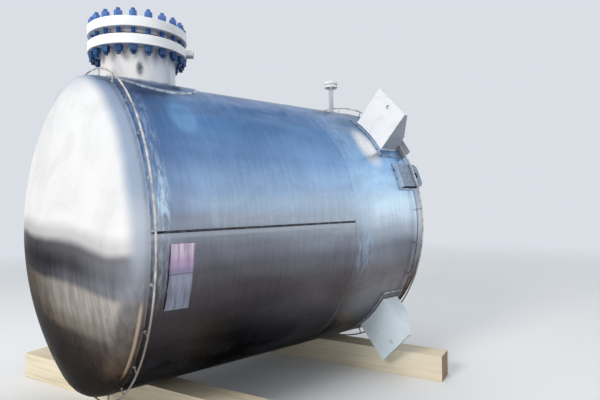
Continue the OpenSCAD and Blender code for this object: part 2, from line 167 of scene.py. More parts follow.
def coords(tree, scale=(1, 1, 1), centre=(0, 0, 0)):
    """Object coordinates, moved to a centre and then scaled."""
    source = add(tree, "ShaderNodeTexCoord")
    moved = add(tree, "ShaderNodeVectorMath", operation="SUBTRACT")
    tree.links.new(source.outputs["Object"], moved.inputs[0])
    moved.inputs[1].default_value = centre
    sized = add(tree, "ShaderNodeVectorMath", operation="MULTIPLY")
    tree.links.new(moved.outputs[0], sized.inputs[0])
    sized.inputs[1].default_value = scale
    return sized.outputs[0]


def axes(tree, vector):
    split = add(tree, "ShaderNodeSeparateXYZ")
    tree.links.new(vector, split.inputs[0])
    return split.outputs


def noise(tree, vector, scale, detail=3.0, rough=0.5, twist=0.0):
    made = add(tree, "ShaderNodeTexNoise")
    tree.links.new(vector, made.inputs["Vector"])
    for key, value in (("Scale", scale), ("Detail", detail), ("Roughness", rough), ("Distortion", twist)):
        made.inputs[key].default_value = value
    return made.outputs[0]


def calc(tree, operation, a, b=0.0, clamp=False):
    made = add(tree, "ShaderNodeMath", operation=operation, use_clamp=clamp)
    plug(tree, made.inputs[0], a)
    plug(tree, made.inputs[1], b)
    return made.outputs[0]


def times(tree, product, *others):
    """The product of two or more values."""
    for value in others:
        product = calc(tree, "MULTIPLY", product, value)
    return product


def stirred(tree, value, pattern, amount):
    """A value moved up and down with a noise pattern, by half the amount at most."""
    return calc(tree, "ADD", value, times(tree, calc(tree, "SUBTRACT", pattern, 0.5), amount))


def ramp(tree, fac, stops):
    """A colour for each stop, from 0 to 1, with a smooth change between them."""
    made = add(tree, "ShaderNodeValToRGB")
    tree.links.new(fac, made.inputs[0])
    line = made.color_ramp
    line.interpolation = "EASE"
    while len(line.elements) < len(stops):
        line.elements.new(0.5)
    for element, (place, colour) in zip(line.elements, stops):
        element.position = place
        element.color = (*colour, 1)
    return made.outputs[0]


def grey(value):
    return (value, value, value)


def span(tree, value, low, high, out_low=0.0, out_high=1.0):
    """A smooth run from out_low, where the value is low, to out_high, where it is high."""
    made = add(tree, "ShaderNodeMapRange", interpolation_type="SMOOTHSTEP")
    plug(tree, made.inputs["Value"], value)
    for key, number in (("From Min", low), ("From Max", high), ("To Min", out_low), ("To Max", out_high)):
        made.inputs[key].default_value = number
    return made.outputs[0]


def band(tree, value, middle, inner, outer):
    """1 within inner of the middle, falling to 0 at outer."""
    away = calc(tree, "ABSOLUTE", calc(tree, "SUBTRACT", value, middle))
    return span(tree, away, inner, outer, 1.0, 0.0)


def mix(tree, a, b, fac, blend="MIX"):
    made = add(tree, "ShaderNodeMix", data_type="RGBA", blend_type=blend)
    plug(tree, made.inputs[0], fac)
    plug(tree, made.inputs[6], a)
    plug(tree, made.inputs[7], b)
    return made.outputs[2]


def shade(tree, tone, colour, fac):
    """The tone multiplied by a colour, in part."""
    return mix(tree, tone, (*colour, 1), fac, "MULTIPLY")


def mottle(tree, tone, pattern, low, high, fac):
    """The tone made darker and lighter with a pattern; low and high are each a place and a grey."""
    stops = tuple((place, grey(value)) for place, value in (low, high))
    return mix(tree, tone, ramp(tree, pattern, stops), fac, "MULTIPLY")


def bump(tree, shader, height, strength, distance, under=None):
    made = add(tree, "ShaderNodeBump")
    made.inputs["Strength"].default_value = strength
    made.inputs["Distance"].default_value = distance
    tree.links.new(height, made.inputs["Height"])
    if under is not None:
        tree.links.new(under, made.inputs["Normal"])
    tree.links.new(made.outputs[0], shader.inputs["Normal"])
    return made.outputs[0]


def ripple(tree, shader, strength=0.5):
    """Close ripples of weld metal."""
    bump(tree, shader, noise(tree, coords(tree), 85.0, 2.0, 0.5), strength, 0.003)


def coat(tree, shader, tone):
    tree.links.new(tone, shader.inputs["Base Color"])


def gloss(tree, shader, pattern, start, end, high=0.7):
    """Roughness that runs with a pattern from start to end."""
    tree.links.new(span(tree, pattern, 0.3, high, start, end), shader.inputs["Roughness"])


def facing(tree):
    """The direction that a face looks in, as its three axes."""
    return axes(tree, add(tree, "ShaderNodeNewGeometry").outputs["True Normal"])


def tint(tree, shader, tone):
    """Sets the tone of a metal, also where it is seen at a shallow angle."""
    coat(tree, shader, tone)
    tree.links.new(tone, shader.inputs["Specular Tint"])


def dress(mat, *names):
    for name in names:
        slots = nodes[name].data.materials
        slots.clear()
        slots.append(mat)


# Finishes

# Reflections and shade painted into the left course, from the lowest line of the shell (0) to its highest
# (1): blue above, dark below
MAIN_REFLECTION_TONES = (
    (0.00, (0.150, 0.155, 0.165)), (0.12, (0.100, 0.100, 0.105)), (0.21, (0.054, 0.051, 0.056)),
    (0.29, (0.058, 0.053, 0.058)), (0.35, (0.080, 0.072, 0.078)), (0.41, (0.122, 0.118, 0.135)),
    (0.47, (0.200, 0.206, 0.250)), (0.51, (0.270, 0.298, 0.355)), (0.55, (0.360, 0.420, 0.510)),
    (0.60, (0.380, 0.495, 0.670)), (0.66, (0.285, 0.425, 0.650)), (0.74, (0.172, 0.300, 0.545)),
    (0.82, (0.135, 0.255, 0.480)), (0.88, (0.215, 0.320, 0.520)), (0.94, (0.390, 0.475, 0.635)),
    (1.00, (0.560, 0.600, 0.690)),
)
# Reflections and shade painted into the right course
END_REFLECTION_TONES = (
    (0.00, (0.280, 0.285, 0.300)), (0.16, (0.310, 0.300, 0.310)), (0.26, (0.300, 0.285, 0.300)),
    (0.34, (0.230, 0.216, 0.232)), (0.42, (0.260, 0.275, 0.325)), (0.48, (0.470, 0.540, 0.640)),
    (0.53, (0.620, 0.740, 0.880)), (0.59, (0.640, 0.820, 1.000)), (0.66, (0.490, 0.720, 0.980)),
    (0.73, (0.350, 0.570, 0.860)), (0.80, (0.310, 0.470, 0.700)), (0.88, (0.330, 0.430, 0.590)),
    (1.00, (0.470, 0.520, 0.600)),
)
# Painted light, reflections and shade of the heads, over the dish
HEAD_LIGHT_TONES = (
    (0.00, (0.026, 0.019, 0.015)), (0.12, (0.052, 0.040, 0.034)), (0.20, (0.080, 0.064, 0.055)),
    (0.245, (0.115, 0.098, 0.088)), (0.285, (0.27, 0.24, 0.215)), (0.335, (0.39, 0.36, 0.33)),
    (0.380, (0.43, 0.40, 0.365)), (0.405, (0.17, 0.17, 0.188)), (0.44, (0.095, 0.094, 0.106)),
    (0.485, (0.17, 0.165, 0.178)), (0.515, (0.72, 0.70, 0.70)), (0.56, (1.00, 0.99, 0.99)),
    (0.90, (1.00, 1.00, 1.00)), (1.00, (0.75, 0.80, 0.88)),
)
# Painted light, reflections and shade of their rims
RIM_LIGHT_TONES = (
    (0.00, (0.030, 0.022, 0.018)), (0.12, (0.080, 0.060, 0.047)), (0.20, (0.135, 0.105, 0.083)),
    (0.28, (0.15, 0.128, 0.115)), (0.36, (0.18, 0.170, 0.175)), (0.43, (0.32, 0.335, 0.38)),
    (0.52, (0.52, 0.57, 0.65)), (0.57, (0.55, 0.61, 0.71)), (0.68, (0.36, 0.47, 0.64)),
    (1.00, (0.30, 0.38, 0.56)),
)
# Tones of the blank sheet, from its foot to its top, with painted shade darker towards the foot
SHEET_SHADE_TONES = (
    (0.0, (0.22, 0.24, 0.31)), (0.50, (0.28, 0.29, 0.38)), (0.62, (0.28, 0.24, 0.38)),
    (0.80, (0.46, 0.32, 0.50)), (1.0, (0.66, 0.54, 0.68)),
)
# Places on the shell of a painted reflection, a painted glare and a painted glint: distance along it,
# degrees from the top and half sizes
BLUE_REFLECTION = (SEAM_LEFT + 0.320, 46.5, (0.11, 0.20, 0.21))
GLARE = (SEAM_RIGHT - 0.37, 53, (0.15, 0.25, 0.27))
LEFT_GLINT = (SEAM_LEFT + 0.070, 77, (0.055, 0.30, 0.26))
# Dark smudge on the manway neck: its middle and half sizes
SMUDGE = ((MANWAY_X - 0.087, -0.247, AXIS_Z + 1.135), (0.035, 0.05, 0.075))
# Level direction of the side of the pipes in painted bluish shade
SHADED_SIDE = (0.767, -0.642)
# Distance between the threads of the studs
THREAD_PITCH = 0.004


def height_share(tree, vector):
    """0 at the lowest line of the shell, 1 at the highest."""
    up = calc(tree, "SUBTRACT", axes(tree, vector)[2], AXIS_Z - SHELL_R)
    return calc(tree, "DIVIDE", up, 2 * SHELL_R, clamp=True)


def wrapped(tree, along, around):
    """Pattern coordinates that run along the vessel and around it, each with its own scale."""
    parts = axes(tree, coords(tree, (1, 1, 1), (0, 0, AXIS_Z)))
    turn = calc(tree, "ARCTAN2", times(tree, parts[1], -1.0), parts[2])
    made = add(tree, "ShaderNodeCombineXYZ")
    plug(tree, made.inputs[0], times(tree, parts[0], along))
    plug(tree, made.inputs[1], times(tree, turn, SHELL_R * around))
    return made.outputs[0]


def spot(tree, centre, size):
    """1 at the centre, falling to 0 at the edge of an ellipsoid of the given half sizes."""
    near = coords(tree, tuple(1 / s for s in size), centre)
    away = add(tree, "ShaderNodeVectorMath", operation="LENGTH")
    tree.links.new(near, away.inputs[0])
    return span(tree, away.outputs["Value"], 0.25, 1.0, 1.0, 0.0)


def shell_spot(tree, x, degrees, size):
    """A spot around a point on the shell."""
    return spot(tree, on_shell(x, degrees), size)


def shell_tone(tree):
    """Tone of the shell plate, with reflections and shade painted by height, a painted reflection, glare
    and glint, and its drift, streaks, ground bands, scuffs and rubs.
    """
    place = coords(tree)
    x = axes(tree, place)[0]
    drift = noise(tree, coords(tree, (0.5, 1, 1)), 1.3, 2.0, 0.45)
    share = stirred(tree, height_share(tree, place), drift, 0.07)
    right = times(tree, span(tree, x, -0.55, 0.15), 0.28)
    beyond = times(tree, span(tree, x, SEAM_MID - 0.10, SEAM_MID + 0.28), 0.72)
    right = calc(tree, "ADD", right, beyond)
    # reflections and shade painted by height, blended from the left course to the right
    tone = mix(tree, ramp(tree, share, MAIN_REFLECTION_TONES), ramp(tree, share, END_REFLECTION_TONES), right)
    # darker beside the left ring
    left = times(tree, span(tree, x, SEAM_LEFT + 0.10, SEAM_LEFT + 0.40, 1.0, 0.0), 0.75)
    left = times(tree, left, span(tree, share, 0.46, 0.60))
    tone = shade(tree, tone, (0.60, 0.62, 0.70), left)
    # pale blue patch beside the manway pad, a painted reflection
    blue_reflection = calc(tree, "MULTIPLY", shell_spot(tree, *BLUE_REFLECTION), 1.8, clamp=True)
    tone = mix(tree, tone, (0.22, 0.40, 0.66, 1), times(tree, blue_reflection, 0.62))
    # broad painted glare beside the upper lug, a painted reflection of the lug plate
    tone = mix(tree, tone, (1.00, 0.98, 0.97, 1), times(tree, shell_spot(tree, *GLARE), 0.92))
    cloud = noise(tree, coords(tree, (0.7, 1, 1.4)), 2.6, 6.0, 0.62, 0.6)
    tone = mottle(tree, tone, cloud, (0.36, 0.84), (0.66, 1.14), 0.7)
    streak = noise(tree, wrapped(tree, 9.0, 0.7), 5.0, 5.0, 0.62, 0.2)
    tone = mottle(tree, tone, streak, (0.32, 0.84), (0.68, 1.12), 0.42)
    # ground bands beside the girth seams, paler and torn at their edges
    torn = span(tree, noise(tree, wrapped(tree, 14.0, 3.0), 3.0, 6.0, 0.7, 0.4), 0.42, 0.62)
    upper = span(tree, share, 0.30, 0.46)
    ground = times(tree, band(tree, x, SEAM_MID + 0.11, 0.03, 0.14), upper, torn, 0.55)
    tone = mix(tree, tone, (0.46, 0.62, 0.82, 1), ground)
    left_edge = band(tree, x, SEAM_LEFT + 0.05, 0.01, 0.09)
    edges = calc(tree, "ADD", left_edge, band(tree, x, SEAM_RIGHT, 0.02, 0.09), True)
    edges = times(tree, times(tree, edges, torn), times(tree, upper, 0.42))
    tone = mix(tree, tone, (0.50, 0.60, 0.74, 1), edges)
    # painted glint beside the left ring, over the long seam
    rubbed = times(tree, shell_spot(tree, *LEFT_GLINT), torn, 0.85)
    tone = mix(tree, tone, (0.58, 0.76, 0.92, 1), rubbed)
    # pale line below the long seam
    below = times(tree, band(tree, height_share(tree, place), 0.512, 0.002, 0.010), 0.45)
    below = times(tree, below, span(tree, x, SEAM_MID, SEAM_MID + 0.02, 1.0, 0.0))
    tone = mix(tree, tone, (0.46, 0.50, 0.58, 1), below)
    # dark scuffs and a few bright rubs
    scuff = span(tree, noise(tree, wrapped(tree, 26.0, 2.4), 2.2, 4.0, 0.6, 0.3), 0.70, 0.80, 0.0, 0.55)
    tone = mix(tree, tone, (0.050, 0.052, 0.066, 1), scuff)
    rub = span(tree, noise(tree, wrapped(tree, 7.0, 5.0), 2.4, 5.0, 0.66, 1.2), 0.71, 0.79, 0.0, 0.65)
    tone = mix(tree, tone, (0.62, 0.72, 0.84, 1), times(tree, rub, upper))
    return tone, cloud, ground


def plate_finish():
    """Brushed stainless plate of the shell and the pads on it, with reflections and shade painted into its
    tone.
    """
    mat, tree, shader = new_material("brushed_plate", (0.4, 0.42, 0.45), 0.26, 1.0)
    tone, cloud, ground = shell_tone(tree)
    tint(tree, shader, tone)
    rough = span(tree, cloud, 0.3, 0.75, 0.24, 0.38)
    rough = calc(tree, "ADD", rough, times(tree, ground, 0.2))
    tree.links.new(rough, shader.inputs["Roughness"])
    wave = bump(tree, shader, noise(tree, coords(tree, (0.8, 1, 1)), 1.9, 2.0, 0.4), 0.30, 0.02)
    bump(tree, shader, noise(tree, wrapped(tree, 30.0, 1.2), 9.0, 4.0, 0.65), 0.12, 0.002, wave)
    return mat


def seam_finish():
    """Ground seam: the tone of the plate beside it with its painted reflections and shade, a little duller,
    over close ripples.
    """
    mat, tree, shader = new_material("ground_seam", (0.3, 0.3, 0.32), 0.42, 1.0)
    spots = noise(tree, coords(tree), 30.0, 4.0, 0.65)
    tone = mottle(tree, shell_tone(tree)[0], spots, (0.32, 0.72), (0.70, 1.20), 0.9)
    # the seam of the right head is dull and dark
    x = axes(tree, coords(tree))[0]
    dull = span(tree, x, SEAM_RIGHT - 0.05, SEAM_RIGHT - 0.03, 0.0, 0.65)
    tint(tree, shader, shade(tree, tone, (0.20, 0.19, 0.22), dull))
    ripple(tree, shader)
    return mat


def dark_seam_finish():
    """Long seam left as welded: dark oxide with paler crests."""
    mat, tree, shader = new_material("dark_seam", (0.06, 0.06, 0.07), 0.5, 0.8)
    spots = noise(tree, coords(tree, (1, 2, 2)), 26.0, 4.0, 0.65)
    stops = ((0.34, (0.020, 0.020, 0.026)), (0.56, (0.060, 0.062, 0.078)), (0.76, (0.24, 0.26, 0.31)))
    coat(tree, shader, ramp(tree, spots, stops))
    ripple(tree, shader, 0.6)
    return mat


def head_finish():
    """Bright polished head with painted light, reflections and shade: white above, a dark band below the
    middle, a paler patch, a dark foot.
    """
    mat, tree, shader = new_material("polished_head", (0.7, 0.7, 0.71), 0.3, 0.85)
    x, side = axes(tree, coords(tree))[:2]
    drift = noise(tree, coords(tree, (1, 1.2, 1)), 1.5, 3.0, 0.5)
    share = stirred(tree, height_share(tree, coords(tree)), drift, 0.035)
    # the painted bands sit a little lower on the near side
    share = calc(tree, "ADD", share, times(tree, side, -0.022))
    share = calc(tree, "ADD", share, span(tree, side, -0.55, -0.95, -0.010, 0.006))
    face = ramp(tree, share, HEAD_LIGHT_TONES)
    # painted light makes the dark band paler towards the near edge
    pale = times(tree, band(tree, share, 0.445, 0.030, 0.060), span(tree, side, -0.66, -0.88))
    face = mix(tree, face, (0.26, 0.275, 0.31, 1), times(tree, pale, 0.45))
    # painted shade makes the far side of the lower half darker
    low = span(tree, share, 0.38, 0.50, 1.0, 0.0)
    far = times(tree, span(tree, side, -0.60, 0.35), low)
    face = shade(tree, face, (0.30, 0.24, 0.21), far)
    # the rim's painted reflections begin at a reach beyond the head seam, further in on the lower half
    reach = calc(tree, "SUBTRACT", calc(tree, "ABSOLUTE", x), SEAM_RIGHT)
    soft_reach = stirred(tree, reach, drift, 0.05)
    low_rim = times(tree, span(tree, soft_reach, 0.165, 0.125), low)
    near_rim = calc(tree, "MAXIMUM", span(tree, soft_reach, 0.140, 0.070), low_rim)
    tone = mix(tree, face, ramp(tree, share, RIM_LIGHT_TONES), times(tree, near_rim, 0.9))
    # painted bluish shade along the far edge of the dish
    edge = times(tree, span(tree, reach, 0.25, 0.13), span(tree, side, -0.1, 0.35))
    tone = shade(tree, tone, (0.52, 0.53, 0.60), edge)
    cloud = noise(tree, coords(tree), 3.2, 6.0, 0.62, 0.8)
    tone = mottle(tree, tone, cloud, (0.35, 0.88), (0.62, 1.0), 0.7)
    streak = noise(tree, coords(tree, (5, 5, 0.5)), 5.0, 5.0, 0.65)
    tone = mottle(tree, tone, streak, (0.32, 0.70), (0.66, 1.22), times(tree, low, 0.7))
    freckle = span(tree, noise(tree, coords(tree, (1, 1, 0.6)), 13.0, 5.0, 0.7), 0.64, 0.74, 0.0, 0.6)
    tone = mix(tree, tone, (0.055, 0.050, 0.055, 1), times(tree, freckle, low))
    # painted warm glint along the lower knuckle of the left head's near side
    glint = times(tree, band(tree, reach, 0.040, 0.005, 0.014), span(tree, share, 0.12, 0.19),
                  span(tree, share, 0.40, 0.36), span(tree, side, -0.2, -0.6), span(tree, x, 0.0, -0.5))
    tone = mix(tree, tone, (0.74, 0.57, 0.42, 1), times(tree, glint, 0.62))
    tint(tree, shader, tone)
    gloss(tree, shader, cloud, 0.26, 0.40, 0.75)
    wave = bump(tree, shader, noise(tree, coords(tree), 2.2, 2.0, 0.4), 0.25, 0.02)
    bump(tree, shader, noise(tree, coords(tree), 60.0, 3.0, 0.6), 0.03, 0.002, wave)
    return mat


def pipe_finish():
    """Warm matt stainless pipe with a soft brushed grain around it, painted bluish shade on one side and a
    smudge on the manway neck.
    """
    mat, tree, shader = new_material("bright_pipe", (0.78, 0.76, 0.73), 0.45, 0.5)
    smear = noise(tree, coords(tree, (1, 1, 0.5)), 6.0, 5.0, 0.6, 0.5)
    tone = ramp(tree, smear, ((0.28, (0.60, 0.61, 0.64)), (0.56, (0.88, 0.86, 0.84))))
    parts = axes(tree, coords(tree))
    # painted bluish shade on the side away from the light
    cool_shade = calc(tree, "ADD", times(tree, parts[0], SHADED_SIDE[0]), times(tree, parts[1], SHADED_SIDE[1]))
    middle = MANWAY_X * SHADED_SIDE[0]
    tone = shade(tree, tone, (0.72, 0.79, 0.90), span(tree, cool_shade, middle + 0.02, middle + 0.24))
    torn = span(tree, noise(tree, coords(tree), 24.0, 4.0, 0.6), 0.30, 0.55, 0.4, 1.0)
    tone = mix(tree, tone, (0.13, 0.14, 0.17, 1), times(tree, spot(tree, *SMUDGE), torn))
    coat(tree, shader, tone)
    gloss(tree, shader, smear, 0.52, 0.38)
    bump(tree, shader, noise(tree, coords(tree, (1, 1, 30)), 9.0, 3.0, 0.6), 0.10, 0.002)
    return mat


def weld_finish():
    """Dressed weld metal with close ripples and heat tint."""
    mat, tree, shader = new_material("weld_metal", (0.5, 0.49, 0.48), 0.38, 0.9)
    spots = noise(tree, coords(tree), 30.0, 4.0, 0.65)
    stops = ((0.30, (0.15, 0.16, 0.18)), (0.52, (0.42, 0.48, 0.56)), (0.70, (0.74, 0.82, 0.92)))
    coat(tree, shader, ramp(tree, spots, stops))
    gloss(tree, shader, spots, 0.5, 0.3)
    ripple(tree, shader)
    return mat


def painted_weld_finish():
    """Fillet weld under the white paint of the lugs."""
    mat, tree, shader = new_material("painted_weld", (0.82, 0.83, 0.84), 0.45)
    spots = noise(tree, coords(tree), 40.0, 4.0, 0.65)
    coat(tree, shader, ramp(tree, spots, ((0.32, (0.52, 0.54, 0.57)), (0.52, (0.82, 0.83, 0.85)))))
    ripple(tree, shader)
    return mat


def lug_steel_finish():
    """Flat bar of the lifting plates and the tab: grey blue faces, a pale sawn edge lit with a painted
    highlight where it looks left, and painted shade on the faces that look down.
    """
    mat, tree, shader = new_material("lug_steel", (0.3, 0.35, 0.42), 0.38, 0.85)
    grain = noise(tree, coords(tree, (3, 9, 9)), 8.0, 5.0, 0.6, 0.3)
    tone = ramp(tree, grain, ((0.30, (0.24, 0.30, 0.39)), (0.70, (0.35, 0.42, 0.53))))
    looks = facing(tree)
    # painted highlight on the faces that look left, painted shade on the faces that look down
    tone = mix(tree, tone, (0.80, 0.75, 0.73, 1), span(tree, looks[0], -0.7, -0.9, 0.0, 0.9))
    tone = mix(tree, tone, (0.030, 0.022, 0.034, 1), span(tree, looks[2], -0.4, -0.7, 0.0, 0.9))
    tint(tree, shader, tone)
    bump(tree, shader, grain, 0.06, 0.002)
    return mat


def rod_finish():
    """Round stainless rod, lightly scuffed and warm in tone, with painted shade darker below."""
    mat, tree, shader = new_material("support_rod", (0.7, 0.66, 0.6), 0.4, 0.6)
    scuff = noise(tree, coords(tree), 16.0, 4.0, 0.6)
    tone = ramp(tree, scuff, ((0.30, (0.30, 0.28, 0.27)), (0.62, (0.72, 0.69, 0.66))))
    # painted shade on the lower part of the rings
    under = span(tree, height_share(tree, coords(tree)), 0.44, 0.28, 0.0, 0.85)
    coat(tree, shader, mix(tree, tone, (0.20, 0.165, 0.135, 1), under))
    gloss(tree, shader, scuff, 0.5, 0.3)
    bump(tree, shader, scuff, 0.15, 0.002)
    return mat


def paint_finish(colour):
    """White paint with a faint orange peel, a thin film of dust and a few rubbed spots."""
    mat, tree, shader = new_material("white_paint", colour, 0.42)
    dust = noise(tree, coords(tree, (1, 1, 2)), 5.0, 6.0, 0.65, 0.4)
    dusty = tuple(channel * 0.90 for channel in colour)
    tone = ramp(tree, dust, ((0.30, dusty), (0.55, tuple(colour))))
    fleck = noise(tree, coords(tree), 55.0, 2.0, 0.5)
    tone = mix(tree, tone, (0.34, 0.31, 0.28, 1), span(tree, fleck, 0.76, 0.84, 0.0, 0.6))
    # painted bluish shade on the low lugs, and painted grey shade on the faces that look down
    cool_shade = span(tree, height_share(tree, coords(tree)), 0.50, 0.34)
    tone = shade(tree, tone, (0.82, 0.93, 1.00), cool_shade)
    tone = shade(tree, tone, (0.35, 0.38, 0.44), span(tree, facing(tree)[2], -0.30, -0.60))
    coat(tree, shader, tone)
    gloss(tree, shader, dust, 0.55, 0.36)
    bump(tree, shader, noise(tree, coords(tree), 140.0, 2.0, 0.5), 0.12, 0.001)
    return mat


def coating_finish(name, colour, threads):
    """Blue fastener coating, worn to a darker tone in places; threads adds grooves up the stud."""
    mat, tree, shader = new_material(name, colour, 0.38)
    wear = noise(tree, coords(tree), 24.0, 4.0, 0.6)
    dark = tuple(channel * 0.35 for channel in colour)
    tone = ramp(tree, wear, ((0.28, dark), (0.52, tuple(colour)), (0.74, (0.10, 0.25, 0.60))))
    # painted light above the manway cover; painted shade, dull and greenish, below its flanges
    height = axes(tree, coords(tree))[2]
    above = span(tree, height, AXIS_Z + 1.44, AXIS_Z + 1.50, 0.0, 0.35)
    tone = mix(tree, tone, (0.20, 0.34, 0.66, 1), above)
    under = span(tree, height, AXIS_Z + 1.27, AXIS_Z + 1.30, 1.0, 0.0)
    coat(tree, shader, shade(tree, tone, (0.50, 0.62, 0.50), under))
    gloss(tree, shader, wear, 0.5, 0.3)
    if threads:
        bump(tree, shader, calc(tree, "SINE", times(tree, height, 2 * math.pi / THREAD_PITCH)), 0.8, 0.0012)
    else:
        bump(tree, shader, wear, 0.15, 0.002)
    return mat


def gasket_finish():
    """Pinkish brown sheet packing with a fibrous edge."""
    mat, tree, shader = new_material("sheet_packing", (0.30, 0.20, 0.17), 0.85)
    fibre = noise(tree, coords(tree, (1, 1, 8)), 40.0, 4.0, 0.7)
    coat(tree, shader, ramp(tree, fibre, ((0.3, (0.16, 0.10, 0.085)), (0.7, (0.42, 0.29, 0.25)))))
    bump(tree, shader, fibre, 0.4, 0.002)
    return mat


def primer_finish():
    """Matt dark primer with rust freckles."""
    mat, tree, shader = new_material("dark_primer", (0.045, 0.042, 0.042), 0.6)
    rust = noise(tree, coords(tree), 22.0, 6.0, 0.7)
    stops = ((0.45, (0.035, 0.033, 0.034)), (0.62, (0.07, 0.055, 0.048)), (0.74, (0.20, 0.085, 0.04)))
    coat(tree, shader, ramp(tree, rust, stops))
    bump(tree, shader, rust, 0.3, 0.002)
    return mat


def timber_finish(colour):
    """Sawn softwood: soft grain along each beam, a few checks and ringed end grain."""
    mat, tree, shader = new_material("sawn_timber", colour, 0.75)
    turned = add(tree, "ShaderNodeVectorRotate", rotation_type="Z_AXIS")
    tree.links.new(coords(tree), turned.inputs["Vector"])
    turned.inputs["Angle"].default_value = -TIMBER_TURN
    beam = turned.outputs[0]

    def along(scale):
        sized = add(tree, "ShaderNodeVectorMath", operation="MULTIPLY")
        tree.links.new(beam, sized.inputs[0])
        sized.inputs[1].default_value = scale
        return sized.outputs[0]

    grain = noise(tree, along((9, 0.30, 9)), 4.0, 6.0, 0.55, 0.6)
    dark = tuple(channel * 0.80 for channel in colour)
    pale = tuple(min(1, channel * 1.10) for channel in colour)
    tone = ramp(tree, grain, ((0.32, dark), (0.50, tuple(colour)), (0.70, pale)))
    weather = noise(tree, along((1, 0.35, 1)), 2.2, 3.0, 0.5)
    tone = mix(tree, tone, (0.84, 0.78, 0.66, 1), span(tree, weather, 0.45, 0.7, 0.0, 0.40))
    check = span(tree, noise(tree, along((16, 0.22, 16)), 3.0, 3.0, 0.5), 0.70, 0.76)
    tone = mix(tree, tone, (0.20, 0.15, 0.10, 1), times(tree, check, 0.6))
    # rings on the sawn ends: darker end grain, with painted shade
    end = add(tree, "ShaderNodeVectorRotate", rotation_type="Z_AXIS")
    tree.links.new(add(tree, "ShaderNodeNewGeometry").outputs["True Normal"], end.inputs["Vector"])
    end.inputs["Angle"].default_value = -TIMBER_TURN
    faces_end = span(tree, calc(tree, "ABSOLUTE", axes(tree, end.outputs[0])[1]), 0.7, 0.9)
    heart = add(tree, "ShaderNodeTexWave", wave_type="RINGS", rings_direction="Y")
    tree.links.new(beam, heart.inputs["Vector"])
    for key, value in (("Scale", 18.0), ("Distortion", 3.0), ("Detail", 3.0), ("Detail Scale", 1.5)):
        heart.inputs[key].default_value = value
    rings = ramp(tree, heart.outputs["Color"], ((0.2, (0.20, 0.12, 0.075)), (0.8, (0.42, 0.29, 0.19))))
    coat(tree, shader, mix(tree, tone, rings, faces_end))
    bump(tree, shader, calc(tree, "SUBTRACT", grain, times(tree, check, 1.2)), 0.35, 0.004)
    return mat


def paper_finish():
    """Thin unprinted sheet in painted light and shade: paler lilac above, blue grey below a fold painted as
    a dark line of shade, with upright creases painted darker and lighter.
    """
    mat, tree, shader = new_material("thin_sheet", (0.52, 0.50, 0.60), 0.6)
    crease = noise(tree, coords(tree, (16, 3, 1.0)), 3.0, 5.0, 0.6, 0.5)
    rise = span(tree, axes(tree, coords(tree))[2], *SHEET_BAND)
    # creases painted darker and lighter, as shade and light
    tone = mottle(tree, ramp(tree, rise, SHEET_SHADE_TONES), crease, (0.32, 0.62), (0.62, 1.22), 0.85)
    # painted shade along the fold
    fold = times(tree, band(tree, rise, 0.57, 0.008, 0.022), 0.75)
    coat(tree, shader, mix(tree, tone, (0.13, 0.12, 0.19, 1), fold))
    bump(tree, shader, crease, 0.5, 0.006)
    return mat


# Modelling helpers

def tank_sizes():
    return bpy.context.scene.tank_sizes


def tank_colours():
    return bpy.context.scene.tank_colours


def on_shell(x, degrees, out=0.0):
    """A point on the shell at degrees from the top towards the near side, out above the plate."""
    turn = math.radians(degrees)
    reach = SHELL_R + out
    return Vector((x, -math.sin(turn) * reach, AXIS_Z + math.cos(turn) * reach))


def run_between(points, step):
    """The same route with points no further apart than step."""
    route = []
    for start, end in zip(points, points[1:]):
        pieces = max(1, round((end - start).length / step))
        route += [start.lerp(end, i / pieces) for i in range(pieces)]
    return route + [points[-1]]


def weld_run(name, routes, radius):
    """One rippled bead for each route, swept along a path and joined into one mesh."""
    made = []
    for route in routes:
        closed = (route[0] - route[-1]).length < 1e-6
        points = route[:-1] if closed else route
        bpy.ops.object.select_all(action="DESELECT")
        bpy.ops.curve.primitive_nurbs_path_add(location=(0, 0, 0))
        path = bpy.context.active_object
        curve = path.data
        curve.splines.clear()
        line = curve.splines.new("POLY")
        line.points.add(len(points) - 1)
        for i, (target, point) in enumerate(zip(line.points, points)):
            target.co = (*point, 1)
            target.radius = WELD_SWELLS[i % len(WELD_SWELLS)]
        line.use_cyclic_u = closed
        curve.dimensions = "3D"
        curve.bevel_depth = radius
        curve.bevel_resolution = 1
        curve.use_fill_caps = True
        bpy.ops.object.convert(target="MESH")
        bpy.ops.object.shade_smooth()
        made.append(bpy.context.active_object)
    return join(name, made)


def join(name, pieces):
    bpy.ops.object.select_all(action="DESELECT")
    for piece in pieces:
        piece.select_set(True)
    bpy.context.view_layer.objects.active = pieces[0]
    if len(pieces) > 1:
        bpy.ops.object.join()
    piece = bpy.context.active_object
    bpy.ops.object.transform_apply(location=True, rotation=True, scale=True)
    piece.name = piece.data.name = name
    return piece


def keep(piece, mat):
    """Gives a finished piece its material and its body."""
    piece.data.materials.clear()
    piece.data.materials.append(mat)
    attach(piece, "root")


def own_material(name, maker):
    """A finish that is already there, or else a new one."""
    return bpy.data.materials.get(name) or maker()


# Operators

class FinishSteel(bpy.types.Operator):
    """Give the vessel's plates, pipes, rods and seams their stainless finishes"""
    bl_idname = "tank.finish_steel"
    bl_label = "Finish stainless parts"

    def execute(self, context):
        dress(plate_finish(), "main_course", "end_course", "manway_pad", "lug_pads", "lifting_pads")
        dress(lug_steel_finish(), "lifting_plates", "ring_tab")
        dress(head_finish(), "left_head", "right_head")
        dress(pipe_finish(), "manway_neck", "manway_lining", "vent_pipe", "vent_collar", "drain_neck")
        dress(seam_finish(), "girth_beads")
        dress(dark_seam_finish(), "long_bead")
        dress(weld_finish(), "manway_pad_bead", "manway_neck_bead")
        dress(rod_finish(), "left_ring", "right_ring", "left_ring_clips", "right_ring_clips")
        return {"FINISHED"}


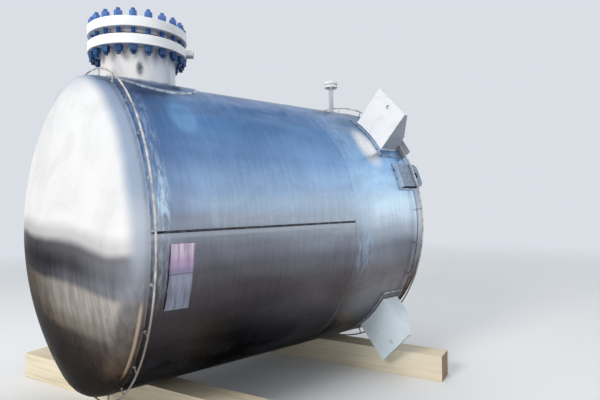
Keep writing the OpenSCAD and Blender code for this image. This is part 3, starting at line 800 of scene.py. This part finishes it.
class FinishPaint(bpy.types.Operator):
    """Give flanges, lugs, fasteners, packing and the bottom nozzle their finishes"""
    bl_idname = "tank.finish_paint"
    bl_label = "Finish painted parts"

    def execute(self, context):
        colours = tank_colours()
        dress(paint_finish(colours.paint), "manway_lower_flange", "manway_cover", "manway_side_boss",
              "vent_flange", "vent_cover", "vent_bolts_set", "lug_plates", "lug_gussets")
        dress(coating_finish("stud_coating", colours.coating, True), "manway_studs")
        dress(coating_finish("nut_coating", colours.coating, False),
              "manway_top_nuts", "manway_bottom_nuts", "drain_bolts_set")
        dress(gasket_finish(), "manway_gasket", "drain_gasket_ring")
        dress(primer_finish(), "drain_flange", "drain_cover")
        return {"FINISHED"}


class FinishTimber(bpy.types.Operator):
    """Give the two supports their sawn timber finish"""
    bl_idname = "tank.finish_timber"
    bl_label = "Finish timbers"

    def execute(self, context):
        dress(timber_finish(tank_colours().timber), "timber_left", "timber_right")
        return {"FINISHED"}


def pressed(corners, middle, half, out, sizes):
    """Weld route that lies out above the shell; a corner is a place along it and a side, -1 to 1."""
    points = [on_shell(x, middle + side * half, out) for x, side in corners]
    route = []
    for point in run_between(points, sizes.weld_step):
        away = Vector((0, point.y, point.z - AXIS_Z)).normalized() * (SHELL_R + out)
        route.append(Vector((point.x, away.y, AXIS_Z + away.z)))
    return route


def lug_middles(sizes):
    """Angles of the four support lugs, degrees from the top."""
    return (sizes.lug_angle, 180 - sizes.lug_angle, -sizes.lug_angle, sizes.lug_angle - 180)


class AddPadWelds(bpy.types.Operator):
    """Run rippled fillet welds around the pads of the support and lifting lugs"""
    bl_idname = "tank.add_pad_welds"
    bl_label = "Add pad welds"

    def execute(self, context):
        sizes = tank_sizes()
        low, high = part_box("lug_pads")
        lift_low, lift_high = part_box("lifting_pads")
        half = math.degrees(math.asin((sizes.lug_w / 2 + sizes.lug_margin) / SHELL_R))
        around = ((low.x, -1), (low.x, 0), (low.x, 1), (high.x, 1), (high.x, 0), (high.x, -1), (low.x, -1))
        routes = [pressed(around, middle, half, WELD_LIFT, sizes) for middle in lug_middles(sizes)]
        half = math.degrees(math.asin(sizes.lift_half / SHELL_R))
        around = ((lift_high.x, -1), (lift_low.x, -1), (lift_low.x, 1), (lift_high.x, 1))
        for middle in (sizes.lift_angle, -sizes.lift_angle):
            routes.append(pressed(around, middle, half, WELD_LIFT, sizes))
        piece = weld_run("pad_welds", routes, sizes.weld_r)
        keep(piece, own_material("weld_metal", weld_finish))
        return {"FINISHED"}


class AddLugWelds(bpy.types.Operator):
    """Run fillet welds where the lug plates and gussets stand on their pads"""
    bl_idname = "tank.add_lug_welds"
    bl_label = "Add lug welds"

    def execute(self, context):
        sizes = tank_sizes()
        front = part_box("lug_plates")[0].x
        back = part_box("lug_gussets")[1].x
        out = sizes.pad_t + WELD_LIFT
        half = math.degrees(math.asin(sizes.lug_w / 2 / (SHELL_R + sizes.pad_t)))
        around = ((back, -1), (front, -1), (front, 0), (front, 1), (back, 1))
        routes = [pressed(around, middle, half, out, sizes) for middle in lug_middles(sizes)]
        piece = weld_run("lug_welds", routes, sizes.weld_r)
        keep(piece, own_material("painted_weld", painted_weld_finish))
        return {"FINISHED"}


class AddClipWelds(bpy.types.Operator):
    """Set a small weld blob at the foot of every ring clip"""
    bl_idname = "tank.add_clip_welds"
    bl_label = "Add clip welds"

    def execute(self, context):
        sizes = tank_sizes()
        bpy.ops.object.select_all(action="DESELECT")
        bpy.ops.mesh.primitive_uv_sphere_add(segments=14, ring_count=8, radius=BLOB_R)
        blob = context.active_object
        blob.scale = BLOB_SHAPE
        bpy.ops.object.transform_apply(location=False, rotation=False, scale=True)
        bpy.ops.object.shade_smooth()
        made = []
        for node in ("left_ring_clips", "right_ring_clips"):
            low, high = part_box(node)
            for turn in self.feet(node, sizes.clip_count):
                copy = blob.copy()
                copy.data = blob.data.copy()
                context.collection.objects.link(copy)
                copy.location = on_shell((low.x + high.x) / 2, math.degrees(turn), WELD_LIFT)
                copy.rotation_euler = (turn, 0, BLOB_TURN * len(made))
                made.append(copy)
        bpy.data.objects.remove(blob)
        piece = join("clip_welds", made)
        keep(piece, own_material("weld_metal", weld_finish))
        return {"FINISHED"}

    @staticmethod
    def feet(node, count):
        """Angles at which the clips of a node stand on the shell, read from its mesh."""
        step = 2 * math.pi / count
        groups = {}
        for vertex in nodes[node].data.vertices:
            y, z = vertex.co.y, vertex.co.z - AXIS_Z
            turn = math.atan2(-y, z) % (2 * math.pi)
            groups.setdefault(round(turn / (step / 8)), []).append(turn)
        turns, run = [], []
        for key in sorted(groups):
            if run and min(groups[key]) - max(run) > step / 3:
                turns.append(sum(run) / len(run))
                run = []
            run += groups[key]
        return turns + [sum(run) / len(run)]


class AddSheet(bpy.types.Operator):
    """Fix a thin blank sheet to the near side of the shell"""
    bl_idname = "tank.add_sheet"
    bl_label = "Add blank sheet"

    def execute(self, context):
        sizes = tank_sizes()
        left = SEAM_LEFT + SHEET_LEFT
        foot, top = SHEET_ANGLES
        sheet = self.patch("blank_sheet", left, left + sizes.sheet_w, top, foot, sizes.sheet_lean)
        keep(sheet, paper_finish())
        return {"FINISHED"}

    @staticmethod
    def patch(name, x0, x1, top, foot, lean):
        """A thin curved patch between two angles that follows the shell, puffs and leans as it falls."""
        bpy.ops.object.select_all(action="DESELECT")
        bpy.ops.mesh.primitive_grid_add(x_subdivisions=14, y_subdivisions=36, size=1)
        piece = bpy.context.active_object
        for vertex in piece.data.vertices:
            u, v = vertex.co.x + 0.5, vertex.co.y + 0.5
            curl = SHEET_CURL * max(0, abs(u - 0.5) * 2 - 0.8) * (0.4 + 0.6 * v)
            puff = SHEET_PUFF * abs(math.sin(3 * math.pi * v + 1.3 * u))
            x = x0 + (x1 - x0) * u - lean * (1 - v)
            vertex.co = on_shell(x, foot + (top - foot) * v, SHEET_LIFT + puff + curl)
        bpy.ops.object.mode_set(mode="EDIT")
        bpy.ops.mesh.select_all(action="SELECT")
        bpy.ops.mesh.normals_make_consistent(inside=False)
        bpy.ops.object.mode_set(mode="OBJECT")
        piece.modifiers.new("thickness", "SOLIDIFY").thickness = SHEET_T
        bpy.ops.object.modifier_apply(modifier="thickness")
        bpy.ops.object.shade_smooth()
        return join(name, [piece])


class SetStage(bpy.types.Operator):
    """Set the pale floor, the soft lights and the camera"""
    bl_idname = "tank.set_stage"
    bl_label = "Set stage"

    def execute(self, context):
        scene = context.scene
        colours = tank_colours()
        bpy.ops.object.select_all(action="DESELECT")
        bpy.ops.mesh.primitive_circle_add(vertices=96, radius=FLOOR_R, fill_type="NGON",
                                          location=(0, 0, -FLOOR_DROP))
        floor = context.active_object
        floor.name = "floor"
        floor.data.materials.append(self.floor_finish(colours))
        self.light_world(scene, colours)
        for values in LAMPS:
            self.lamp(*values)
        self.place_camera(scene)
        scene.view_settings.view_transform = "Standard"
        return {"FINISHED"}

    @staticmethod
    def backdrop(tree, colour):
        """Whether a ray sees the backdrop, and its tone: the set colour, or near white to metal."""
        path = add(tree, "ShaderNodeLightPath")
        mirrored = calc(tree, "MAXIMUM", path.outputs["Is Glossy Ray"], path.outputs["Is Transmission Ray"])
        seen = calc(tree, "MAXIMUM", path.outputs["Is Camera Ray"], mirrored)
        return seen, mix(tree, MIRRORED, (*colour, 1), path.outputs["Is Camera Ray"])

    def floor_finish(self, colours):
        mat, tree, shader = new_material("studio_floor", colours.floor, 0.9)
        squares = [calc(tree, "POWER", part, 2.0) for part in axes(tree, coords(tree))[:2]]
        away = calc(tree, "SQRT", calc(tree, "ADD", *squares))
        glow = add(tree, "ShaderNodeEmission")
        seen, tone = self.backdrop(tree, colours.backdrop)
        tree.links.new(tone, glow.inputs["Color"])
        fac = times(tree, span(tree, away, *FLOOR_FADE), seen)
        both = add(tree, "ShaderNodeMixShader")
        tree.links.new(fac, both.inputs[0])
        tree.links.new(shader.outputs[0], both.inputs[1])
        tree.links.new(glow.outputs[0], both.inputs[2])
        tree.links.new(both.outputs[0], tree.nodes["Material Output"].inputs["Surface"])
        return mat

    def light_world(self, scene, colours):
        world = bpy.data.worlds.new("studio")
        scene.world = world
        world.use_nodes = True
        tree = world.node_tree
        tree.nodes.clear()
        seen, tone = self.backdrop(tree, colours.backdrop)
        light = add(tree, "ShaderNodeBackground")
        light.inputs["Color"].default_value = WORLD_LIGHT
        light.inputs["Strength"].default_value = WORLD_STRENGTH
        back = add(tree, "ShaderNodeBackground")
        tree.links.new(tone, back.inputs["Color"])
        both = add(tree, "ShaderNodeMixShader")
        out = add(tree, "ShaderNodeOutputWorld")
        tree.links.new(seen, both.inputs[0])
        tree.links.new(light.outputs[0], both.inputs[1])
        tree.links.new(back.outputs[0], both.inputs[2])
        tree.links.new(both.outputs[0], out.inputs[0])

    @staticmethod
    def lamp(name, place, size, power, colour):
        bpy.ops.object.light_add(type="AREA", location=place)
        light = bpy.context.active_object
        light.name = name
        light.data.size = size
        light.data.energy = power
        light.data.color = colour
        light.visible_glossy = False
        aim = Vector((0, 0, AXIS_Z)) - light.location
        light.rotation_euler = aim.to_track_quat("-Z", "Y").to_euler()

    @staticmethod
    def place_camera(scene):
        bpy.ops.object.camera_add()
        camera = bpy.context.active_object
        camera.name = "photo_view"
        ahead = Vector((math.sin(YAW) * math.cos(PITCH), math.cos(YAW) * math.cos(PITCH), math.sin(PITCH)))
        right = Vector((math.cos(YAW), -math.sin(YAW), 0))
        up = right.cross(ahead)
        across = math.cos(ROLL) * right + math.sin(ROLL) * up
        upward = -math.sin(ROLL) * right + math.cos(ROLL) * up
        camera.matrix_world = Matrix((
            (across.x, upward.x, -ahead.x, EYE.x),
            (across.y, upward.y, -ahead.y, EYE.y),
            (across.z, upward.z, -ahead.z, EYE.z),
            (0, 0, 0, 1)))
        camera.data.sensor_fit = "HORIZONTAL"
        camera.data.sensor_width = SENSOR_W
        camera.data.lens = SENSOR_W * FOCAL
        camera.data.clip_end = 300
        scene.camera = camera


class TankPanel(bpy.types.Panel):
    """Steps that finish the tank"""
    bl_idname = "VIEW3D_PT_tank"
    bl_label = "Pressure tank"
    bl_space_type = "VIEW_3D"
    bl_region_type = "UI"
    bl_category = "Tank"

    def draw(self, context):
        column = self.layout.column()
        for prop in TankSizes.__annotations__:
            column.prop(context.scene.tank_sizes, prop)
        for prop in TankColours.__annotations__:
            column.prop(context.scene.tank_colours, prop)
        for step in STEPS:
            column.operator(step.bl_idname)


STEPS = (FinishSteel, FinishPaint, FinishTimber, AddPadWelds, AddLugWelds, AddClipWelds, AddSheet, SetStage)
CLASSES = (TankSizes, TankColours, *STEPS, TankPanel)


def register():
    for item in CLASSES:
        bpy.utils.register_class(item)
    bpy.types.Scene.tank_sizes = PointerProperty(type=TankSizes)
    bpy.types.Scene.tank_colours = PointerProperty(type=TankColours)


def unregister():
    del bpy.types.Scene.tank_colours
    del bpy.types.Scene.tank_sizes
    for item in reversed(CLASSES):
        bpy.utils.unregister_class(item)


def main():
    register()
    bpy.ops.tank.finish_steel()
    bpy.ops.tank.finish_paint()
    bpy.ops.tank.finish_timber()
    bpy.ops.tank.add_pad_welds()
    bpy.ops.tank.add_lug_welds()
    bpy.ops.tank.add_clip_welds()
    bpy.ops.tank.add_sheet()
    bpy.ops.tank.set_stage()


if __name__ == "__main__":
    main()
